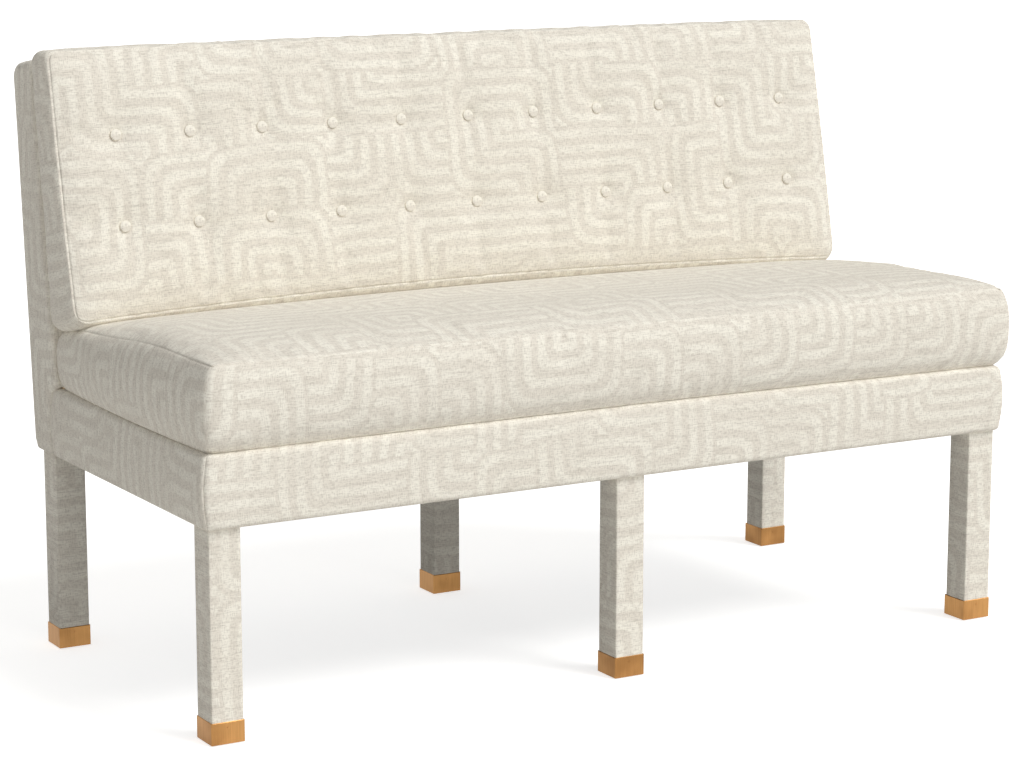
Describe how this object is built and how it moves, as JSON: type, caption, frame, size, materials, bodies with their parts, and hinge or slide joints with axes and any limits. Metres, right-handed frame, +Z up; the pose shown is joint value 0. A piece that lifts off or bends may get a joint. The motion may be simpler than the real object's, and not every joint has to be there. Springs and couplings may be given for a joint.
{
  "type": "upholstered banquette bench",
  "caption": "Armless dining banquette with a thick crowned seat, a raked button-tufted back pad, and fabric-wrapped square legs ending in brass ferrules.",
  "frame": {"origin": "on the floor, under the middle of the whole bench", "axes": "+X to the sitter's left along the bench (the viewer's right from the front), -Y out of the front, +Z up"},
  "size_m": [1.238, 0.604, 0.8207],
  "materials": {
    "upholstery_fabric": "ivory two-tone jacquard with a soft maze figure",
    "antique_brass": "brushed antique brass",
    "hardwood": "planed, unfinished",
    "plywood": "unfinished birch plywood",
    "fastener_steel": "zinc plated",
    "spring_steel": "oiled black spring wire",
    "seat_foam": "open-cell upholstery foam",
    "pad_foam": "open-cell upholstery foam",
    "wadding": "bonded polyester wadding",
    "felt": "needled felt",
    "liner_board": "grey-brown liner board",
    "dust_cloth": "black non-woven cloth",
    "twine": "waxed nylon twine",
    "anchor_plastic": "moulded toggle",
    "glide_nylon": "moulded nylon"
  },
  "bodies": {
    "root": {"back_buttons": "upholstery_fabric", "back_left_upright": "hardwood", "back_liner_board": "liner_board", "back_lower_rail": "hardwood", "back_pad_cover": "upholstery_fabric", "back_pad_foam": "pad_foam", "back_panel": "plywood", "back_right_upright": "hardwood", "back_side_wadding": "wadding", "back_top_cover": "upholstery_fabric", "back_top_rail": "hardwood", "back_top_wadding": "wadding", "button_anchors": "anchor_plastic", "button_ties": "twine", "centre_cross_rail": "hardwood", "corner_blocks": "hardwood", "dust_cover": "dust_cloth", "ferrule_pins": "antique_brass", "frame_dowels": "hardwood", "frame_screws": "fastener_steel", "front_band_cover": "upholstery_fabric", "front_band_wadding": "wadding", "front_centre_ferrule": "antique_brass", "front_centre_leg": "hardwood", "front_centre_leg_cover": "upholstery_fabric", "front_left_ferrule": "antique_brass", "front_left_leg": "hardwood", "front_left_leg_cover": "upholstery_fabric", "front_left_rail": "hardwood", "front_right_ferrule": "antique_brass", "front_right_leg": "hardwood", "front_right_leg_cover": "upholstery_fabric", "front_right_rail": "hardwood", "left_back_side_cover": "upholstery_fabric", "left_band_cover": "upholstery_fabric", "left_side_rail": "hardwood", "leg_glides": "glide_nylon", "outside_back_cover": "upholstery_fabric", "rear_centre_ferrule": "antique_brass", "rear_centre_leg": "hardwood", "rear_centre_leg_cover": "upholstery_fabric", "rear_left_ferrule": "antique_brass", "rear_left_leg_cover": "upholstery_fabric", "rear_left_leg_post": "hardwood", "rear_leg_bolts": "fastener_steel", "rear_right_ferrule": "antique_brass", "rear_right_leg_cover": "upholstery_fabric", "rear_right_leg_post": "hardwood", "rear_seat_rail": "hardwood", "right_back_side_cover": "upholstery_fabric", "right_band_cover": "upholstery_fabric", "right_side_rail": "hardwood", "seat_cover": "upholstery_fabric", "seat_foam": "seat_foam", "seat_insulator": "felt", "seat_springs": "spring_steel", "side_band_wadding": "wadding", "spring_clips": "spring_steel"}
  },
  "joints": []
}
